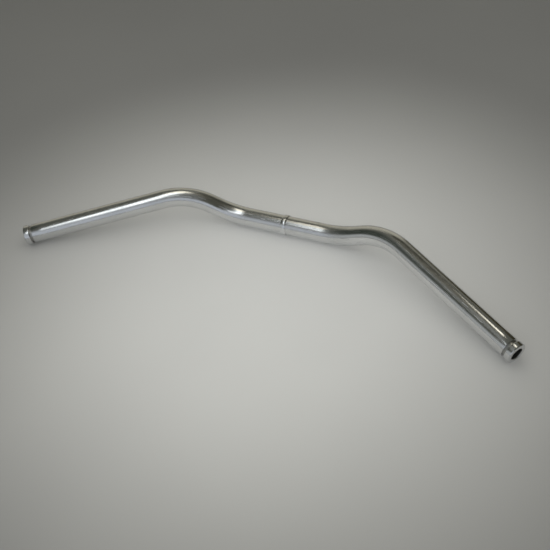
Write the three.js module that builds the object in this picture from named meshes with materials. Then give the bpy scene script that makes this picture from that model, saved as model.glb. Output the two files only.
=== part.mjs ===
// A motorcycle handlebar of bent, polished tube, lying as it rests on a bench: +Z up, the clamped middle
// along X, and the grips swept back towards -Y. The origin is on the bench, in the middle of the bar's
// footprint. Each tube end takes a turned bush with a collar, and a ring marks the middle.
import * as THREE from 'three';

// Driving dimensions, in millimetres and degrees.
const TUBE_DIAMETER = 22.2;
const TUBE_WALL = 2;

// The bends of one half, in the order that a tube bender makes them, outwards from the middle. The twist
// is how far the tube is turned in the bender between its two bends.
const CLAMP_STRAIGHT = 93;
const RISE_BEND_RADIUS = 95;
const RISE_BEND_ANGLE = 24;
const SHOULDER_STRAIGHT = 10.5;
const SHOULDER_TWIST = 121.5;
const SHOULDER_BEND_RADIUS = 85;
const SHOULDER_BEND_ANGLE = 39;
const GRIP_STRAIGHT = 158.5;

// The bush in each end, from its plain shank outwards.
const SHANK_LENGTH = 22;
const SHANK_WALL = 1.8;
const SHANK_CHAMFER = 1;
const NECK_SEAT = 0.5;
const NECK_LENGTH = 3.2;
const COLLAR_LENGTH = 6.6;
const COLLAR_PROUD = 0.6;
const COLLAR_ROUND = 0.6;
const RIM_ROUND = 1.2;
const MOUTH_CHAMFER = 0.6;

// The ring round the middle of the tube.
const RING_WIDTH = 6.2;
const RING_PROUD = 0.9;
const RING_EDGE = 0.35;

// Clearances between pieces: round the tube or its bore, and where a bush seats on the tube's end.
const FIT_CLEARANCE = 0.3;
const SEAT_CLEARANCE = 0.3;

// Fineness of the round shapes.
const SIDES = 32;
const BEND_STEP = 6;
const ROUND_STEPS = 4;

const X_AXIS = new THREE.Vector3(1, 0, 0);
const Y_AXIS = new THREE.Vector3(0, 1, 0);

const tubeRadius = TUBE_DIAMETER / 2;
const boreRadius = tubeRadius - TUBE_WALL;
const ringRadius = tubeRadius + RING_PROUD;
const collarRadius = tubeRadius + COLLAR_PROUD;
const bushReach = NECK_LENGTH + COLLAR_LENGTH;

// Sections of the right half of the centre line, each a point and a tangent, from the first bend to the
// tube's end. There is one at each end of a straight stretch and at every step of a bend, so the
// extrusion spends its faces only where the tube turns. The first bend rises straight up.
function bentHalf() {
  const sections = [];
  const point = new THREE.Vector3(CLAMP_STRAIGHT / 2, 0, 0);
  const tangent = X_AXIS.clone();
  const hinge = Y_AXIS.clone().negate();
  const mark = () => sections.push({ point: point.clone(), tangent: tangent.clone() });

  const bend = (radius, degrees) => {
    const angle = THREE.MathUtils.degToRad(degrees);
    const centre = hinge.clone().cross(tangent).multiplyScalar(radius).add(point);
    const steps = Math.ceil((radius * angle) / BEND_STEP);
    mark();
    for (let step = 0; step < steps; step += 1) {
      point.sub(centre).applyAxisAngle(hinge, angle / steps).add(centre);
      tangent.applyAxisAngle(hinge, angle / steps);
      mark();
    }
  };

  bend(RISE_BEND_RADIUS, RISE_BEND_ANGLE);
  point.addScaledVector(tangent, SHOULDER_STRAIGHT);
  hinge.applyAxisAngle(tangent, THREE.MathUtils.degToRad(SHOULDER_TWIST));
  bend(SHOULDER_BEND_RADIUS, SHOULDER_BEND_ANGLE);
  point.addScaledVector(tangent, GRIP_STRAIGHT);
  mark();
  return sections;
}

// The ring and both collars stand proud of the tube, so the bar rests on them. This is how far the bar
// rolls forward about its clamped middle to bring the collars' rims down to the bench. The rim's depth
// below the end face's centre depends on the slope of the grip, so a few passes settle both.
function restingRoll({ point, tangent }) {
  const face = point.clone().addScaledVector(tangent, bushReach);
  const arm = Math.hypot(face.y, face.z);
  let roll = 0;
  for (let pass = 0; pass < 6; pass += 1) {
    const slope = -Math.asin(tangent.clone().applyAxisAngle(X_AXIS, roll).z);
    const rimDepth = (collarRadius - RIM_ROUND) * Math.cos(slope) + RIM_ROUND * (1 - Math.sin(slope));
    roll = Math.PI - Math.asin((rimDepth - ringRadius) / arm) - Math.atan2(face.z, face.y);
  }
  return roll;
}

const middle = new THREE.Vector3(0, 0, ringRadius);
const rightHalf = bentHalf();
const roll = restingRoll(rightHalf.at(-1));
for (const { point, tangent } of rightHalf) {
  point.applyAxisAngle(X_AXIS, roll).add(middle);
  tangent.applyAxisAngle(X_AXIS, roll);
}
const tubeEnd = rightHalf.at(-1);

// The tube's centre line from its left end to its right end.
class TubeLine extends THREE.Curve {
  constructor() {
    super();
    const leftHalf = rightHalf.map(({ point, tangent }) => ({
      point: new THREE.Vector3(-point.x, point.y, point.z),
      tangent: new THREE.Vector3(tangent.x, -tangent.y, -tangent.z),
    }));
    this.sections = [...leftHalf.reverse(), ...rightHalf];
    this.steps = this.sections.length - 1;
  }

  getSpacedPoints() {
    return this.sections.map(({ point }) => point.clone());
  }

  getTangentAt(share) {
    return this.sections[Math.round(share * this.steps)].tangent.clone();
  }
}

function tubeGeometry() {
  const section = new THREE.Shape().absarc(0, 0, tubeRadius, 0, 2 * Math.PI);
  section.holes.push(new THREE.Path().absarc(0, 0, boreRadius, 0, 2 * Math.PI));
  const line = new TubeLine();
  return new THREE.ExtrudeGeometry(section, {
    extrudePath: line,
    steps: line.steps,
    curveSegments: SIDES / 2,
  });
}

// Points of a quarter round in a turned outline, from one angle to the other, both in quarter turns.
function quarterRound(centreRadius, centreHeight, round, from, to) {
  const points = [];
  for (let step = 0; step <= ROUND_STEPS; step += 1) {
    const angle = (Math.PI / 2) * (from + ((to - from) * step) / ROUND_STEPS);
    const radius = centreRadius + round * Math.cos(angle);
    points.push(new THREE.Vector2(radius, centreHeight + round * Math.sin(angle)));
  }
  return points;
}

// Half the section of the end bush, turned about Y, with its shank downwards and its end face at 0.
function bushGeometry() {
  const shankRadius = boreRadius - FIT_CLEARANCE;
  const bushBore = shankRadius - SHANK_WALL;
  const neckRadius = boreRadius + NECK_SEAT;
  const seat = SEAT_CLEARANCE - bushReach;
  const shankEnd = seat - SHANK_LENGTH;
  const outline = [
    new THREE.Vector2(bushBore, shankEnd),
    new THREE.Vector2(shankRadius - SHANK_CHAMFER, shankEnd),
    new THREE.Vector2(shankRadius, shankEnd + SHANK_CHAMFER),
    new THREE.Vector2(shankRadius, seat),
    new THREE.Vector2(neckRadius, seat),
    new THREE.Vector2(neckRadius, -COLLAR_LENGTH),
    ...quarterRound(collarRadius - COLLAR_ROUND, COLLAR_ROUND - COLLAR_LENGTH, COLLAR_ROUND, -1, 0),
    ...quarterRound(collarRadius - RIM_ROUND, -RIM_ROUND, RIM_ROUND, 0, 1),
    new THREE.Vector2(bushBore + MOUTH_CHAMFER, 0),
    new THREE.Vector2(bushBore, -MOUTH_CHAMFER),
    new THREE.Vector2(bushBore, shankEnd),
  ];
  return new THREE.LatheGeometry(outline, SIDES);
}

// The ring's outside is a low crown between two short upright edges.
function ringGeometry() {
  const inside = tubeRadius + FIT_CLEARANCE;
  const half = RING_WIDTH / 2;
  const edge = inside + RING_EDGE;
  const outline = [new THREE.Vector2(inside, -half)];
  for (let step = -ROUND_STEPS; step <= ROUND_STEPS; step += 1) {
    const angle = (Math.PI / 2) * (step / ROUND_STEPS);
    outline.push(new THREE.Vector2(edge + (ringRadius - edge) * Math.cos(angle), half * Math.sin(angle)));
  }
  outline.push(new THREE.Vector2(inside, half), new THREE.Vector2(inside, -half));
  return new THREE.LatheGeometry(outline, SIDES);
}

const polishedTube = () => new THREE.MeshStandardMaterial({ color: 0xd9dadb, roughness: 0.08, metalness: 1 });
const turnedBush = () => new THREE.MeshStandardMaterial({ color: 0xcfd0d1, roughness: 0.16, metalness: 1 });
const polishedRing = () => new THREE.MeshStandardMaterial({ color: 0xd4d5d6, roughness: 0.12, metalness: 1 });

function named(name, geometry, material) {
  const mesh = new THREE.Mesh(geometry, material);
  mesh.name = name;
  return mesh;
}

// A bush stands in its tube end with its axis along the grip. Side is 1 on the right and -1 on the left.
function bush(name, side) {
  const mesh = named(name, bushGeometry(), turnedBush());
  const outward = tubeEnd.tangent.clone();
  const face = tubeEnd.point.clone().addScaledVector(outward, bushReach);
  outward.x *= side;
  face.x *= side;
  mesh.position.copy(face);
  mesh.quaternion.setFromUnitVectors(Y_AXIS, outward);
  return mesh;
}

function centreRing() {
  const mesh = named('centre_ring', ringGeometry(), polishedRing());
  mesh.position.copy(middle);
  mesh.quaternion.setFromUnitVectors(Y_AXIS, X_AXIS);
  return mesh;
}

const group = new THREE.Group();
group.add(
  named('bar_tube', tubeGeometry(), polishedTube()),
  centreRing(),
  bush('left_end_bush', -1),
  bush('right_end_bush', 1),
);

// The origin moves from below the clamped middle to the middle of the whole footprint.
group.updateMatrixWorld(true);
const footprint = new THREE.Box3().setFromObject(group, true);
group.position.y = -(footprint.min.y + footprint.max.y) / 2;

export default group;
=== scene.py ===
import math

import bmesh
import bpy
from mathutils import Matrix, Vector


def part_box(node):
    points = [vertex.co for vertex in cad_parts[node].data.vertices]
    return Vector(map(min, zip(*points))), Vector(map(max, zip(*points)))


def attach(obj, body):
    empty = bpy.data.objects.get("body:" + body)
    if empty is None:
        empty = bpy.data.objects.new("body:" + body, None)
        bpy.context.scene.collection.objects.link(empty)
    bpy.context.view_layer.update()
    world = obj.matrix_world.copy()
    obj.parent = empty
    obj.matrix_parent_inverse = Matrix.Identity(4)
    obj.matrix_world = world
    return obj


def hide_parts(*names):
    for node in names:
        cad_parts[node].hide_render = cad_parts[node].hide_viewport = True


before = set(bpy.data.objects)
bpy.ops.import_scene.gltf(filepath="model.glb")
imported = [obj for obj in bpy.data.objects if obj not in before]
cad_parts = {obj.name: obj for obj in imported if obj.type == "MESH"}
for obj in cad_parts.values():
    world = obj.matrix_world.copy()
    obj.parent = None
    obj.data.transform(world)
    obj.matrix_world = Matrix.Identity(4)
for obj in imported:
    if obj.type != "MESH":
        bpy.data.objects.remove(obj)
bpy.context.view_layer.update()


# ---------------------------------------------------------------------------------------------
# Camera. It stands to the right of the bar on the grips' side, about a metre off, and looks down
# at 43 degrees with a slight tilt.
camera_place = (0.35593, -0.65833, 0.68669)
camera_turn = [math.radians(angle) for angle in (46.432, 4.993, 23.229)]
camera_lens = 58.91

bpy.ops.object.select_all(action="DESELECT")
bpy.ops.object.camera_add(location=camera_place, rotation=camera_turn)
camera = bpy.context.object
camera.name = "bench_camera"
camera.data.lens = camera_lens
bpy.context.scene.camera = camera
bpy.context.scene.view_settings.view_transform = "Standard"


# ---------------------------------------------------------------------------------------------
# Bench. A wide sheet of pale matt card lies under the bar. It has the fine fibres of card, is a little
# uneven in tone, and gets darker away from the bar: a pool of light and its falloff painted into its
# colour.
bench_size = 5.0
bench_centre = (0, 0.4, 0)
bench_pale = (0.72, 0.72, 0.70, 1)
bench_shade = (0.67, 0.67, 0.655, 1)
painted_falloff_dark = (0.02, 0.02, 0.02, 1)
painted_pool_centre = (0.02, -0.05, 0)
painted_pool_reach = 0.12
painted_falloff_reach = 0.52
painted_falloff_share = 0.62

bpy.ops.object.select_all(action="DESELECT")
bpy.ops.mesh.primitive_plane_add(size=bench_size, location=bench_centre)
bench = bpy.context.object
bench.name = "bench_card"
bpy.ops.object.transform_apply(location=True, rotation=True, scale=True)


def new_material(name):
    """A material with its Principled shader, for nodes to be joined to."""
    material = bpy.data.materials.new(name)
    material.use_nodes = True
    tree = material.node_tree
    return material, tree, tree.nodes["Principled BSDF"]


def fill(tree, socket, value):
    """Joins another node's output to a socket, or sets the socket to a plain value."""
    if isinstance(value, bpy.types.NodeSocket):
        tree.links.new(value, socket)
    else:
        socket.default_value = value


def add_node(tree, kind, **settings):
    """A node of that kind. Settings in lower case set properties, and come first. Others fill sockets."""
    node = tree.nodes.new(kind)
    for key, value in settings.items():
        if key.islower():
            setattr(node, key, value)
            continue
        label = key.replace("_", " ")
        socket = next(socket for socket in node.inputs if socket.enabled and socket.name == label)
        fill(tree, socket, value)
    return node


def result_of(node):
    """The output that a node shows with its present settings, for nodes that show only one."""
    return next(socket for socket in node.outputs if socket.enabled)


def combine_vectors(tree, operation, first, second):
    """One operation on two vectors. The result is a vector or a number, as the operation has it."""
    node = add_node(tree, "ShaderNodeVectorMath", operation=operation)
    for socket, value in zip(node.inputs, (first, second)):
        fill(tree, socket, value)
    return result_of(node)


def smooth_step(tree, value, start, end, low=0.0, high=1.0):
    """A soft step from low to high, as a value goes from start to end."""
    node = add_node(
        tree, "ShaderNodeMapRange", interpolation_type="SMOOTHSTEP", Value=value,
        From_Min=start, From_Max=end, To_Min=low, To_Max=high,
    )
    return node.outputs["Result"]


def two_tone(tree, value, first, second, start=0.0, end=1.0):
    """A colour that goes from the first to the second, as a value goes from start to end."""
    ramp = tree.nodes.new("ShaderNodeValToRGB")
    for stop, position, colour in zip(ramp.color_ramp.elements, (start, end), (first, second)):
        stop.position = position
        stop.color = colour
    fill(tree, ramp.inputs["Fac"], value)
    return ramp.outputs["Color"]


def blend_colours(tree, mask, first, second):
    """A colour between two, by a mask."""
    return result_of(add_node(tree, "ShaderNodeMix", data_type="RGBA", Factor=mask, A=first, B=second))


def bump(tree, height, distance, strength=1.0, over=None):
    """A normal with a height's relief on it, over another normal where one is given."""
    node = add_node(tree, "ShaderNodeBump", Strength=strength, Distance=distance, Height=height)
    if over is not None:
        fill(tree, node.inputs["Normal"], over)
    return node.outputs["Normal"]


card_material, tree, shader = new_material("pale_card")
place = tree.nodes.new("ShaderNodeTexCoord").outputs["Object"]
tone = add_node(tree, "ShaderNodeTexNoise", Vector=place, Scale=2.2, Detail=3.0, Roughness=0.5)
fibre = add_node(tree, "ShaderNodeTexNoise", Vector=place, Scale=900.0, Detail=4.0, Roughness=0.7)
colour = two_tone(tree, tone.outputs["Fac"], bench_shade, bench_pale, start=0.35, end=0.65)
# Painted light: the card's colour darkens away from a painted pool of light round the bar, in place of the
# lamps' falloff.
away = combine_vectors(tree, "DISTANCE", place, painted_pool_centre)
painted_light_falloff = smooth_step(tree, away, painted_pool_reach, painted_falloff_reach, high=painted_falloff_share)
fill(tree, shader.inputs["Base Color"], blend_colours(tree, painted_light_falloff, colour, painted_falloff_dark))
rub = add_node(tree, "ShaderNodeMapRange", Value=fibre.outputs["Fac"], To_Min=0.50, To_Max=0.62)
fill(tree, shader.inputs["Roughness"], rub.outputs["Result"])
fill(tree, shader.inputs["Normal"], bump(tree, fibre.outputs["Fac"], distance=0.00004, strength=0.25))
shader.inputs["Specular IOR Level"].default_value = 0.3
bench.data.materials.append(card_material)


# ---------------------------------------------------------------------------------------------
# Light. A window of five panes overhead, cool at its near end and warm at its far end, is there for
# the reflections only. Two lights kept out of the reflections light the bench: a broad one, and a
# small one that casts no shadow. Two dull cards and a dim room are reflected in the rest of the bar.
def soft_light(name, place, width, depth, strength, colour):
    """A rectangular light that faces straight down. Strength is how bright its face looks."""
    bpy.ops.object.select_all(action="DESELECT")
    bpy.ops.object.light_add(type="AREA", location=place)
    light = bpy.context.object
    light.name = name
    light.data.shape = "RECTANGLE"
    light.data.size = width
    light.data.size_y = depth
    light.data.energy = strength * math.pi * width * depth
    light.data.color = colour
    light.visible_camera = False
    return light


window_height = 1.2
cool = (0.93, 0.98, 1.0)
warm = (1.0, 0.95, 0.80)
for name, left, right, near_edge, far_edge, strength, colour in (
    ("window_front", -0.38, 0.00, -1.25, -0.86, 0.80, cool),
    ("window_near", -0.43, 0.02, -0.86, -0.50, 1.85, cool),
    ("window_middle", -0.385, 0.02, -0.50, -0.05, 1.80, cool),
    ("window_far", -0.38, 0.02, -0.05, 0.45, 1.75, warm),
    ("window_corner", 0.13, 0.34, 0.20, 0.60, 1.55, warm),
):
    place = ((left + right) / 2, (near_edge + far_edge) / 2, window_height)
    pane = soft_light(name, place, right - left, far_edge - near_edge, strength, colour)
    pane.visible_diffuse = False

bench_light = soft_light(
    "bench_light", (0.02, -0.08, 0.80), width=2.20, depth=2.20, strength=0.53, colour=(1.0, 0.985, 0.95)
)
bench_light.visible_glossy = False
open_light = soft_light(
    "open_light", (0.02, -0.06, 0.36), width=0.16, depth=0.16, strength=4.4, colour=(0.965, 0.985, 1.0)
)
open_light.visible_glossy = False
open_light.data.use_shadow = False

# The two dull cards hang between the window and the right half of the bar, so its grip stays dark.
shade_dark = (0.17, 0.17, 0.12, 1)
shade_pale = (0.24, 0.235, 0.18, 1)

shade_material, tree, shader = new_material("olive_card")
place = tree.nodes.new("ShaderNodeTexCoord").outputs["Object"]
tone = add_node(tree, "ShaderNodeTexNoise", Vector=place, Scale=6.0, Detail=3.0)
fill(tree, shader.inputs["Base Color"], two_tone(tree, tone.outputs["Fac"], shade_dark, shade_pale))
shader.inputs["Roughness"].default_value = 0.8
for name, centre, width, depth in (
    ("shade_card", (0.041, 0.135, 0.60), 0.318, 0.93),
    ("shade_slip", (0.090, -0.250, 0.30), 0.220, 0.30),
):
    bpy.ops.object.select_all(action="DESELECT")
    bpy.ops.mesh.primitive_plane_add(size=1, location=centre)
    shade = bpy.context.object
    shade.name = name
    shade.scale = (width, depth, 1)
    bpy.ops.object.transform_apply(location=True, rotation=True, scale=True)
    shade.visible_camera = False
    shade.visible_diffuse = False
    shade.visible_shadow = False
    shade.data.materials.append(shade_material)

# The room: one dim colour, then soft patches over it. A patch is given by its angle from +Y towards
# +X, its height above the horizon, the angles from its middle where it starts and ends to fade, and
# its colour.
room = bpy.data.worlds.new("dim_room")
room.use_nodes = True
bpy.context.scene.world = room
tree = room.node_tree
direction = tree.nodes.new("ShaderNodeTexCoord").outputs["Generated"]
colour = (0.090, 0.092, 0.078, 1)
for azimuth, elevation, inner, outer, patch_colour in (
    (-26, 2, 20, 54, (0.42, 0.405, 0.335, 1)),
    (178, -6, 32, 66, (0.47, 0.50, 0.54, 1)),
    (-126, -2, 20, 44, (0.38, 0.395, 0.39, 1)),
    (-99, 36, 14, 30, (0.042, 0.049, 0.040, 1)),
    (30, 8, 20, 36, (0.034, 0.029, 0.014, 1)),
):
    turn, rise = math.radians(azimuth), math.radians(elevation)
    towards = (math.sin(turn) * math.cos(rise), math.cos(turn) * math.cos(rise), math.sin(rise))
    facing = combine_vectors(tree, "DOT_PRODUCT", direction, towards)
    patch = smooth_step(tree, facing, math.cos(math.radians(outer)), math.cos(math.radians(inner)))
    colour = blend_colours(tree, patch, colour, patch_colour)
fill(tree, tree.nodes["Background"].inputs["Color"], colour)


# ---------------------------------------------------------------------------------------------
# Bar tube. One length of drawn aluminium tube, bent cold twice on each side: up out of the clamped
# middle, then back along the grip. It was polished along its length, and its ends were cut square.
tube_radius = 0.0111
tube_wall = 0.002
tube_sides = 96
clamp_half = 0.0465
rise_bend = (0.095, 24)
shoulder_straight = 0.0105
shoulder_twist = 121.5
shoulder_bend = (0.085, 39)
grip_straight = 0.1585
resting_roll = 14.931
cut_edge = 0.00025
weld = 0.00001
smooth_angle = math.radians(35)
aluminium_bright = (0.75, 0.752, 0.752, 1)
aluminium_hazed = (0.64, 0.642, 0.640, 1)
bore_bright = (0.55, 0.55, 0.55, 1)
bore_dull = (0.42, 0.42, 0.42, 1)
mop_squeeze = (1, 50, 50)
draw_squeeze = (1, 30, 30)
hair_squeeze = (60, 1400, 1400)

ring_low, ring_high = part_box("centre_ring")
middle = (ring_low + ring_high) / 2

bpy.ops.object.select_all(action="DESELECT")
bpy.ops.mesh.primitive_circle_add(
    vertices=tube_sides, radius=tube_radius, location=middle, rotation=(0, math.radians(90), 0)
)
bar_tube = bpy.context.object
bar_tube.name = "polished_bar"
bpy.ops.object.transform_apply(location=True, rotation=True, scale=True)
bar_tube.data.attributes.new("straight_stock", "FLOAT_VECTOR", "POINT")

# The right half is drawn out from the middle. What is kept of its open end: its place and turn, how
# far it is along the tube, and the axis that it bends round, which leans as the bar lies rolled.
bpy.ops.object.mode_set(mode="EDIT")
bpy.ops.mesh.select_all(action="SELECT")
end_frame = Matrix.Translation(middle)
station = 0.0
hinge = Matrix.Rotation(math.radians(resting_roll), 3, "X") @ Vector((0, -1, 0))


def note_station():
    """Keeps, on the open end's points, where they lay in the tube while it was still straight."""
    edit = bmesh.from_edit_mesh(bar_tube.data)
    stock = edit.verts.layers.float_vector["straight_stock"]
    back = end_frame.inverted()
    for point in edit.verts:
        if point.select:
            flat = back @ point.co
            point[stock] = (station, flat.y, flat.z)
    bmesh.update_edit_mesh(bar_tube.data)


def draw_straight(length, steps):
    """Draws the open end straight out."""
    global end_frame, station
    for _ in range(steps):
        step = end_frame.to_3x3() @ Vector((length / steps, 0, 0))
        bpy.ops.mesh.extrude_region_move(TRANSFORM_OT_translate={"value": step})
        end_frame = Matrix.Translation(step) @ end_frame
        station += length / steps
        note_station()


def bend_round(radius, degrees):
    """Bends the open end round the hinge, a degree at a time."""
    global end_frame, station
    along = end_frame.to_3x3() @ Vector((1, 0, 0))
    centre = hinge.cross(along) * radius + end_frame.to_translation()
    turn = math.radians(degrees) / degrees
    step = Matrix.Translation(centre) @ Matrix.Rotation(turn, 4, hinge) @ Matrix.Translation(-centre)
    for _ in range(degrees):
        bpy.ops.mesh.spin(steps=1, angle=turn, center=centre, axis=-hinge)
        end_frame = step @ end_frame
        station += radius * turn
        note_station()


note_station()
draw_straight(clamp_half, steps=6)
bend_round(*rise_bend)
draw_straight(shoulder_straight, steps=2)
hinge.rotate(Matrix.Rotation(math.radians(shoulder_twist), 3, end_frame.to_3x3() @ Vector((1, 0, 0))))
bend_round(*shoulder_bend)
draw_straight(grip_straight, steps=12)
tube_end = end_frame.copy()
bpy.ops.object.mode_set(mode="OBJECT")

# The left half is its mirror image. The wall goes inwards from there, and the cut ends are deburred.
mirror = bar_tube.modifiers.new("left_half", "MIRROR")
mirror.merge_threshold = weld
bpy.ops.object.modifier_apply(modifier=mirror.name)
bpy.ops.object.mode_set(mode="EDIT")
bpy.ops.mesh.select_all(action="SELECT")
bpy.ops.mesh.remove_doubles(threshold=weld)
bpy.ops.mesh.normals_make_consistent(inside=False)
bpy.ops.object.mode_set(mode="OBJECT")
stock = bar_tube.data.attributes["straight_stock"].data
for point, kept in zip(bar_tube.data.vertices, stock):
    if point.co.x < 0:
        kept.vector = (-kept.vector.x, kept.vector.y, kept.vector.z)

wall = bar_tube.modifiers.new("wall", "SOLIDIFY")
wall.thickness = tube_wall
wall.offset = -1
wall.use_even_offset = True
wall.material_offset = 1
bpy.ops.object.modifier_apply(modifier=wall.name)
deburred = bar_tube.modifiers.new("deburred_ends", "BEVEL")
deburred.width = cut_edge
deburred.segments = 2
deburred.limit_method = "ANGLE"
deburred.angle_limit = math.radians(60)
bpy.ops.object.modifier_apply(modifier=deburred.name)
bpy.ops.object.shade_smooth_by_angle(angle=smooth_angle)


def new_group(name, inputs, outputs):
    """A node group for effects that several finishes use, with its input and output sockets."""
    group = bpy.data.node_groups.new(name, "ShaderNodeTree")
    for label, kind in inputs:
        group.interface.new_socket(name=label, in_out="INPUT", socket_type=kind)
    for label, kind in outputs:
        group.interface.new_socket(name=label, in_out="OUTPUT", socket_type=kind)
    source = group.nodes.new("NodeGroupInput")
    result = group.nodes.new("NodeGroupOutput")
    return group, source.outputs, result.inputs


def add_group(tree, group, **values):
    """Places a node group in a material, with its own values."""
    node = tree.nodes.new("ShaderNodeGroup")
    node.node_tree = group
    for label, value in values.items():
        fill(tree, node.inputs[label], value)
    return node


def arithmetic(tree, operation, first, second=0.0):
    """One operation on two values or numbers."""
    node = add_node(tree, "ShaderNodeMath", operation=operation)
    for socket, value in zip(node.inputs, (first, second)):
        fill(tree, socket, value)
    return node.outputs["Value"]


def weighted_sum(tree, base, *parts):
    """A number plus each mask times its weight."""
    total = base
    for mask, weight in parts:
        total = arithmetic(tree, "ADD", total, arithmetic(tree, "MULTIPLY", mask, weight))
    return total


# Fine lines left by the polishing mop, long in the direction that the given place is squeezed.
polish_lines, given, made = new_group(
    "polish_lines",
    [("Place", "NodeSocketVector"), ("Fineness", "NodeSocketFloat")],
    [("Lines", "NodeSocketFloat"), ("Streaks", "NodeSocketFloat")],
)
place = given["Place"]
fine = add_node(polish_lines, "ShaderNodeTexNoise", Vector=place, Scale=given["Fineness"], Detail=3.0)
streak_scale = arithmetic(polish_lines, "MULTIPLY", given["Fineness"], 0.2)
coarse = add_node(polish_lines, "ShaderNodeTexNoise", Vector=place, Scale=streak_scale, Detail=2.0)
fill(polish_lines, made["Lines"], fine.outputs["Fac"])
fill(polish_lines, made["Streaks"], coarse.outputs["Fac"])

# Marks of handling: a faint haze from fingers, and sparse hairline scratches both ways.
handling, given, made = new_group(
    "handling_marks",
    [("Place", "NodeSocketVector")],
    [("Haze", "NodeSocketFloat"), ("Scratches", "NodeSocketFloat")],
)
place = given["Place"]
cloud = add_node(handling, "ShaderNodeTexNoise", Vector=place, Scale=22.0, Detail=5.0, Roughness=0.62)
fill(handling, made["Haze"], smooth_step(handling, cloud.outputs["Fac"], start=0.42, end=0.75))
hairs = []
for slant in ((0.35, 0.2, 0.5), (-0.5, 0.6, -0.3)):
    turned = add_node(handling, "ShaderNodeMapping", Vector=place, Rotation=slant, Scale=hair_squeeze)
    grain = add_node(handling, "ShaderNodeTexNoise", Vector=turned.outputs["Vector"], Scale=1.0, Detail=0.0)
    hairs.append(smooth_step(handling, grain.outputs["Fac"], start=0.72, end=0.80))
fill(handling, made["Scratches"], arithmetic(handling, "MAXIMUM", *hairs))

tube_finish, tree, shader = new_material("polished_tube")
shader.inputs["Metallic"].default_value = 1.0
stock_place = add_node(tree, "ShaderNodeAttribute", attribute_name="straight_stock").outputs["Vector"]
drawn_out = add_node(tree, "ShaderNodeMapping", Vector=stock_place, Scale=mop_squeeze)
lines = add_group(tree, polish_lines, Place=drawn_out.outputs["Vector"], Fineness=45.0)
marks = add_group(tree, handling, Place=stock_place)
ripple = add_node(tree, "ShaderNodeTexNoise", Vector=stock_place, Scale=55.0, Detail=1.0)
tone = weighted_sum(tree, 0.0, (marks.outputs["Haze"], 0.6), (lines.outputs["Streaks"], 0.3))
fill(tree, shader.inputs["Base Color"], blend_colours(tree, tone, aluminium_bright, aluminium_hazed))
rough = weighted_sum(
    tree, 0.125,
    (marks.outputs["Haze"], 0.07),
    (lines.outputs["Lines"], 0.10),
    (marks.outputs["Scratches"], 0.12),
)
fill(tree, shader.inputs["Roughness"], rough)
long_wave = bump(tree, ripple.outputs["Fac"], distance=0.00004)
mop_lines = bump(tree, lines.outputs["Lines"], distance=0.000006, over=long_wave)
hairlines = bump(
    tree, marks.outputs["Scratches"], distance=-0.00001, strength=0.5, over=mop_lines
)
fill(tree, shader.inputs["Normal"], hairlines)

bore_finish, tree, shader = new_material("drawn_bore")
shader.inputs["Metallic"].default_value = 1.0
stock_place = add_node(tree, "ShaderNodeAttribute", attribute_name="straight_stock").outputs["Vector"]
drawn_out = add_node(tree, "ShaderNodeMapping", Vector=stock_place, Scale=draw_squeeze)
lines = add_group(tree, polish_lines, Place=drawn_out.outputs["Vector"], Fineness=60.0)
colour = blend_colours(tree, lines.outputs["Streaks"], bore_bright, bore_dull)
fill(tree, shader.inputs["Base Color"], colour)
fill(tree, shader.inputs["Roughness"], weighted_sum(tree, 0.35, (lines.outputs["Lines"], 0.25)))
fill(tree, shader.inputs["Normal"], bump(tree, lines.outputs["Lines"], distance=0.00002))

bar_tube.data.materials.append(tube_finish)
bar_tube.data.materials.append(bore_finish)
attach(bar_tube, "root")
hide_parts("bar_tube")


# ---------------------------------------------------------------------------------------------
# Centre ring. A narrow aluminium ring, turned with a low crown, pressed over the middle of the tube
# to show where the two clamps go, and polished together with it.
ring_width = 0.0062
ring_radius = 0.0120
ring_edge_radius = 0.01150
ring_seat_radius = 0.01112
crown_steps = 14
fine_weld = 0.000001
lathe_drift = 0.02
ring_bright = (0.79, 0.795, 0.80, 1)
ring_hazed = (0.70, 0.705, 0.71, 1)
ring_seam = (0.36, 0.35, 0.33, 1)
seam_radii = (0.01155, 0.01125)

bpy.ops.object.select_all(action="DESELECT")
bpy.ops.mesh.primitive_cylinder_add(
    vertices=tube_sides, radius=ring_edge_radius, depth=ring_width, end_fill_type="NOTHING",
    location=middle, rotation=(0, math.radians(90), 0),
)
ring = bpy.context.object
ring.name = "crowned_ring"
bpy.ops.object.transform_apply(location=True, rotation=True, scale=True)


def select_where(kind, test):
    """In edit mode, selects the faces, edges or points that pass a test, and nothing else."""
    bpy.ops.mesh.select_mode(type=kind)
    bpy.ops.mesh.select_all(action="DESELECT")
    edit = bmesh.from_edit_mesh(bpy.context.object.data)
    parts = {"VERT": edit.verts, "EDGE": edit.edges, "FACE": edit.faces}[kind]
    for part in parts:
        if test(part):
            part.select_set(True)
    edit.select_flush_mode()
    bmesh.update_edit_mesh(bpy.context.object.data)


def near(first, second, tolerance=0.00001):
    """Whether two lengths are the same, to a hundredth of a millimetre unless told otherwise."""
    return abs(first - second) < tolerance


# The plain band is swelled into its crown, one section after another, and then closed by its seat.
bpy.ops.object.mode_set(mode="EDIT")
select_where("EDGE", lambda edge: abs(edge.verts[0].co.x - edge.verts[1].co.x) > ring_width / 2)
bpy.ops.mesh.subdivide(number_cuts=crown_steps - 1)
for step in range(1, crown_steps):
    across = ring_width * (step / crown_steps - 0.5)
    crown = math.sqrt(1 - (2 * across / ring_width) ** 2)
    swell = 1 + crown * (ring_radius - ring_edge_radius) / ring_edge_radius
    select_where("VERT", lambda point: near(point.co.x, across))
    bpy.ops.transform.resize(value=(1, swell, swell), center_override=middle)
select_where("EDGE", lambda edge: edge.is_boundary)
bpy.ops.mesh.extrude_edges_move()
shrink = ring_seat_radius / ring_edge_radius
bpy.ops.transform.resize(value=(1, shrink, shrink), center_override=middle)
select_where("EDGE", lambda edge: edge.is_boundary)
bpy.ops.mesh.bridge_edge_loops()
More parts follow.
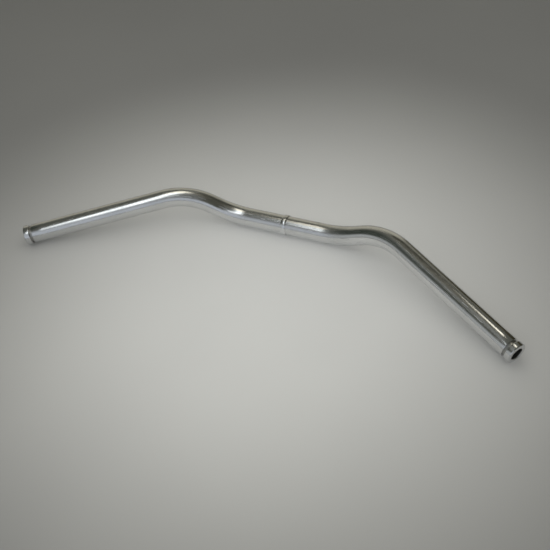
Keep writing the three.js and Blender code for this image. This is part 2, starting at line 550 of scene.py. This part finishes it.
bpy.ops.mesh.select_all(action="SELECT")
bpy.ops.mesh.remove_doubles(threshold=fine_weld)
bpy.ops.mesh.normals_make_consistent(inside=False)
bpy.ops.object.mode_set(mode="OBJECT")
bpy.ops.object.shade_smooth_by_angle(angle=smooth_angle)


def on_a_lathe(tree, place, along, across):
    """For a turned piece: where its turning lines run, its distance out and its distance along."""
    apart = add_node(tree, "ShaderNodeSeparateXYZ", Vector=place).outputs
    squares = [arithmetic(tree, "MULTIPLY", apart[axis], apart[axis]) for axis in across]
    radius = arithmetic(tree, "SQRT", arithmetic(tree, "ADD", *squares))
    around = add_node(tree, "ShaderNodeCombineXYZ", X=apart[along], Y=radius).outputs["Vector"]
    drift_scale = [0 if axis == along else lathe_drift for axis in "XYZ"]
    drift = add_node(tree, "ShaderNodeMapping", Vector=place, Scale=drift_scale).outputs["Vector"]
    return combine_vectors(tree, "ADD", around, drift), radius, apart[along]


ring_finish, tree, shader = new_material("polished_ring")
shader.inputs["Metallic"].default_value = 1.0
place = tree.nodes.new("ShaderNodeTexCoord").outputs["Object"]
centred = add_node(tree, "ShaderNodeMapping", Vector=place, Location=-middle).outputs["Vector"]
turned_place, radius, _ = on_a_lathe(tree, centred, "X", "YZ")
lines = add_group(tree, polish_lines, Place=turned_place, Fineness=2600.0)
marks = add_group(tree, handling, Place=place)
seam = smooth_step(tree, radius, *seam_radii)
colour = blend_colours(tree, lines.outputs["Streaks"], ring_bright, ring_hazed)
fill(tree, shader.inputs["Base Color"], blend_colours(tree, seam, colour, ring_seam))
rough = weighted_sum(
    tree, 0.12,
    (lines.outputs["Lines"], 0.10),
    (marks.outputs["Haze"], 0.06),
    (seam, 0.35),
)
fill(tree, shader.inputs["Roughness"], rough)
fill(tree, shader.inputs["Normal"], bump(tree, lines.outputs["Lines"], distance=0.000006))

ring.data.materials.append(ring_finish)
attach(ring, "root")
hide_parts("centre_ring")


# ---------------------------------------------------------------------------------------------
# End bushes. Each is turned from aluminium bar: a plain shank pressed into the tube, a narrow neck
# that shows as a groove, and a rounded collar a little proud of the tube, bored right through.
shank_length = 0.022
shank_radius = 0.0088
bush_bore = 0.0070
neck_radius = 0.0096
neck_length = 0.00315
collar_length = 0.0066
collar_radius = 0.0117
rim_round = 0.0012
collar_round = 0.0006
mouth_chamfer = 0.0006
shank_chamfer = 0.0010
bush_reach = 0.0098
bush_bright = (0.77, 0.775, 0.78, 1)
bush_hazed = (0.67, 0.675, 0.68, 1)
bush_painted_shade = (0.40, 0.395, 0.38, 1)
groove_radii = (0.0108, 0.0098)
groove_heights = (-0.0058, -0.0066)
bore_radii = (0.0076, 0.0070)

bpy.ops.object.select_all(action="DESELECT")
bpy.ops.mesh.primitive_cylinder_add(
    vertices=tube_sides, radius=collar_radius, depth=collar_length, location=(0, 0, -collar_length / 2)
)
bush = bpy.context.object
bpy.ops.object.transform_apply(location=True, rotation=True, scale=True)
bpy.ops.object.mode_set(mode="EDIT")
neck_end = -collar_length - neck_length
shank_end = neck_end - shank_length


def cap_at(height):
    """A test for a flat end face at that height."""
    def is_cap(face):
        level = near(face.calc_center_median().z, height)
        return level and abs(face.normal.z) > 0.9 and len(face.verts) > 4
    return is_cap


def circle_at(radius, height):
    """A test for an edge of the circle of that radius at that height."""
    def on_circle(point):
        distance = math.hypot(point.co.x, point.co.y)
        return near(point.co.z, height) and near(distance, radius, tolerance=0.00003)
    return lambda edge: all(on_circle(point) for point in edge.verts)


# The neck and the shank are drawn out of the collar's back, then the bore is opened right through.
select_where("FACE", cap_at(-collar_length))
bpy.ops.mesh.inset(thickness=collar_radius - neck_radius)
bpy.ops.mesh.extrude_region_move(TRANSFORM_OT_translate={"value": (0, 0, -neck_length)})
bpy.ops.mesh.inset(thickness=neck_radius - shank_radius)
bpy.ops.mesh.extrude_region_move(TRANSFORM_OT_translate={"value": (0, 0, -shank_length)})
bpy.ops.mesh.inset(thickness=shank_radius - bush_bore)
bpy.ops.mesh.delete(type="FACE")
select_where("FACE", cap_at(0))
bpy.ops.mesh.inset(thickness=collar_radius - bush_bore)
bpy.ops.mesh.delete(type="FACE")
select_where("EDGE", lambda edge: edge.is_boundary)
bpy.ops.mesh.bridge_edge_loops()
for circle_radius, height, width, steps in (
    (collar_radius, 0, rim_round, 8),
    (collar_radius, -collar_length, collar_round, 5),
    (bush_bore, 0, mouth_chamfer, 1),
    (shank_radius, shank_end, shank_chamfer, 1),
):
    select_where("EDGE", circle_at(circle_radius, height))
    bpy.ops.mesh.bevel(offset=width, segments=steps, profile=0.5, affect="EDGES")
bpy.ops.mesh.select_all(action="SELECT")
bpy.ops.mesh.remove_doubles(threshold=fine_weld)
bpy.ops.mesh.normals_make_consistent(inside=False)
bpy.ops.object.mode_set(mode="OBJECT")
bpy.ops.object.shade_smooth_by_angle(angle=smooth_angle)
on_lathe = bush.data.attributes.new("on_lathe", "FLOAT_VECTOR", "POINT")
for point, kept in zip(bush.data.vertices, on_lathe.data):
    kept.vector = point.co

bush_finish, tree, shader = new_material("turned_bush")
shader.inputs["Metallic"].default_value = 1.0
lathe_place = add_node(tree, "ShaderNodeAttribute", attribute_name="on_lathe").outputs["Vector"]
place = tree.nodes.new("ShaderNodeTexCoord").outputs["Object"]
turned_place, radius, along = on_a_lathe(tree, lathe_place, "Z", "XY")
lines = add_group(tree, polish_lines, Place=turned_place, Fineness=2800.0)
marks = add_group(tree, handling, Place=place)
# Painted shade: the groove behind the collar and the bore are painted a darker grey, and made rougher, in
# place of the shade in these recesses.
groove = smooth_step(tree, radius, *groove_radii)
behind_face = smooth_step(tree, along, *groove_heights)
painted_groove_shade = arithmetic(tree, "MULTIPLY", groove, behind_face)
painted_bore_shade = smooth_step(tree, radius, *bore_radii)
painted_recess_shade = arithmetic(tree, "MAXIMUM", painted_groove_shade, painted_bore_shade)
colour = blend_colours(tree, lines.outputs["Streaks"], bush_bright, bush_hazed)
fill(tree, shader.inputs["Base Color"], blend_colours(tree, painted_recess_shade, colour, bush_painted_shade))
rough = weighted_sum(
    tree, 0.12,
    (lines.outputs["Lines"], 0.12),
    (marks.outputs["Haze"], 0.06),
    (painted_recess_shade, 0.14),
)
fill(tree, shader.inputs["Roughness"], rough)
fill(tree, shader.inputs["Normal"], bump(tree, lines.outputs["Lines"], distance=0.00001))
bush.data.materials.append(bush_finish)

# The right bush goes into the end that the tube was drawn out to, and the left one mirrors it.
right_outward = (tube_end.to_3x3() @ Vector((1, 0, 0))).normalized()
right_face = tube_end.to_translation() + right_outward * bush_reach
left_outward = Vector((-right_outward.x, right_outward.y, right_outward.z))
left_face = Vector((-right_face.x, right_face.y, right_face.z))
left_bush = bush.copy()
left_bush.data = bush.data.copy()
bpy.context.collection.objects.link(left_bush)
for piece, name, node, outward, face in (
    (bush, "right_bush", "right_end_bush", right_outward, right_face),
    (left_bush, "left_bush", "left_end_bush", left_outward, left_face),
):
    piece.name = name
    facing = outward.to_track_quat("Z", "Y").to_matrix().to_4x4()
    piece.data.transform(Matrix.Translation(face) @ facing)
    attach(piece, "root")
    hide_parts(node)
